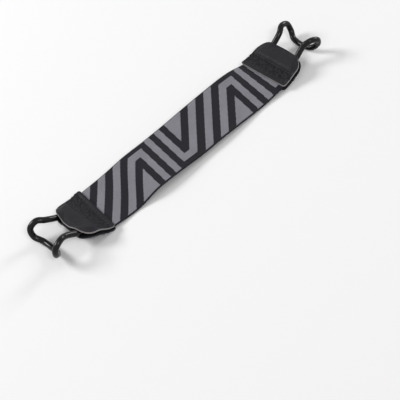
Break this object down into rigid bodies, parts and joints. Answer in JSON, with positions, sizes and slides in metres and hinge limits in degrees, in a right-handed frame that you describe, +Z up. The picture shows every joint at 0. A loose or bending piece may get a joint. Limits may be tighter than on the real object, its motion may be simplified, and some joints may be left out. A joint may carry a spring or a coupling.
{
  "type": "e-reader hand strap",
  "caption": "Wide elastic hand strap with a woven zigzag, a leather tab sewn round each end and a bent wire hook in each tab that grips the edge of an e-reader",
  "frame": {"origin": "under the middle of the strap, on the ground that it lies on", "axes": "+Z up, +X along the strap from the left hook to the right hook, +Y across the strap"},
  "size_m": [0.2392, 0.0408, 0.0198],
  "materials": {
    "band_fabric": "woven black ground with grey zigzags",
    "tab_leather": "charcoal, lightly grained, satin",
    "hook_coating": "glossy black coating on bent steel wire"
  },
  "bodies": {
    "root": {"elastic_band": "band_fabric", "left_top_cover": "tab_leather", "left_bottom_cover": "tab_leather", "left_wire_hook": "hook_coating", "right_top_cover": "tab_leather", "right_bottom_cover": "tab_leather", "right_wire_hook": "hook_coating"}
  },
  "joints": []
}
